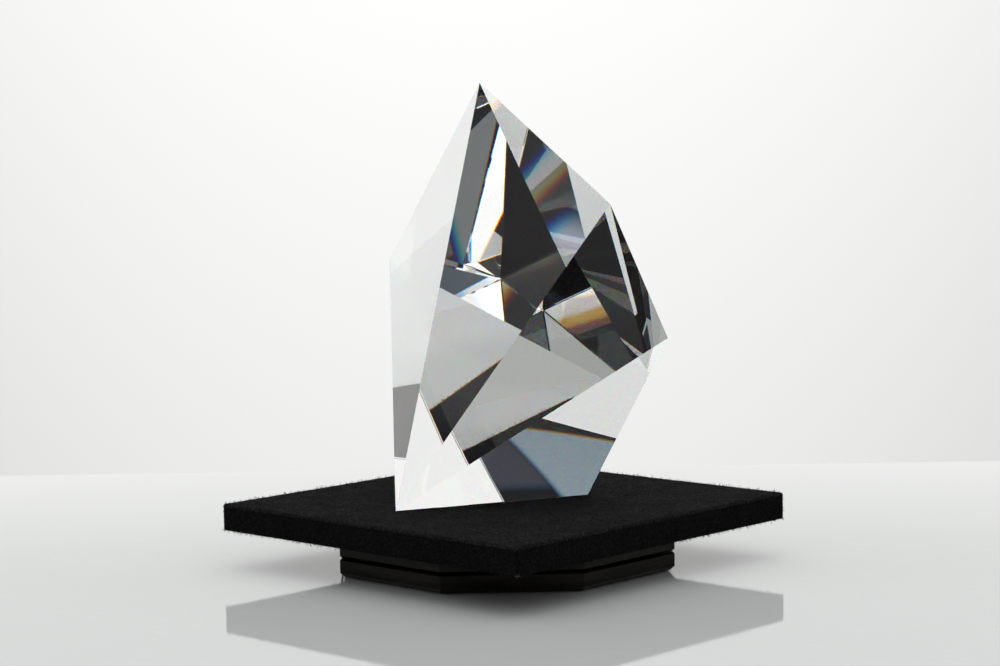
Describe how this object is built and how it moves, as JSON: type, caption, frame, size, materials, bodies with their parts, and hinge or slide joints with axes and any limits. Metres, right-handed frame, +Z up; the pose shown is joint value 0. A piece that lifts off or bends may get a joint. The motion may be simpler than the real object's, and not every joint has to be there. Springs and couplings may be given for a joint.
{
  "type": "crystal award",
  "caption": "Asymmetric faceted crystal peak that stands on a black felt-covered square display board, carried by a low eight-sided ball-bearing turntable.",
  "frame": {"origin": "on the table under the centre of the square display board and of the ring of rubber feet, at the bottom of the feet; the crystal's left corner reaches 9 mm past the board's -X side, so the whole box isn't centred on it", "axes": "+Z up along the turntable's axis; X and Y along the sides of the square board; the award faces the corner at +X, -Y"},
  "size_m": [0.209, 0.2, 0.241],
  "materials": {
    "crystal": "polished optical crystal",
    "black_felt": "fuzzy matte felt",
    "fibreboard": "raw medium density fibreboard",
    "gloss_black": "polished black acrylic",
    "race_steel": "turned steel",
    "ball_steel": "polished bearing steel",
    "cage_brass": "stamped brass",
    "zinc_screws": "zinc plated",
    "washer_nylon": "natural nylon",
    "foot_rubber": "matte rubber"
  },
  "bodies": {
    "stand": {"lower_plate": "gloss_black", "lower_race": "race_steel", "lower_race_screws": "zinc_screws", "pivot_bolt": "zinc_screws", "pivot_washer": "washer_nylon", "pivot_nut": "zinc_screws", "rubber_feet": "foot_rubber"},
    "cage": {"ball_cage": "cage_brass", "bearing_balls": "ball_steel"},
    "turntable": {"crystal_body": "crystal", "felt_top": "black_felt", "felt_edge_front": "black_felt", "felt_edge_right": "black_felt", "felt_edge_back": "black_felt", "felt_edge_left": "black_felt", "felt_underside": "black_felt", "board_core": "fibreboard", "board_screws": "zinc_screws", "upper_plate": "gloss_black", "upper_race": "race_steel", "upper_race_screws": "zinc_screws"}
  },
  "joints": [
    {"name": "turntable_spin", "type": "hinge", "parent": "stand", "child": "turntable", "pos_m": [0, 0, 0.0103], "axis": [0, 0, 1], "continuous": true},
    {"name": "cage_spin", "type": "hinge", "parent": "stand", "child": "cage", "pos_m": [0, 0, 0.0103], "axis": [0, 0, 1], "continuous": true}
  ],
  "couplings": [
    {"joint": "cage_spin", "follows": "turntable_spin", "ratio": 0.5}
  ]
}
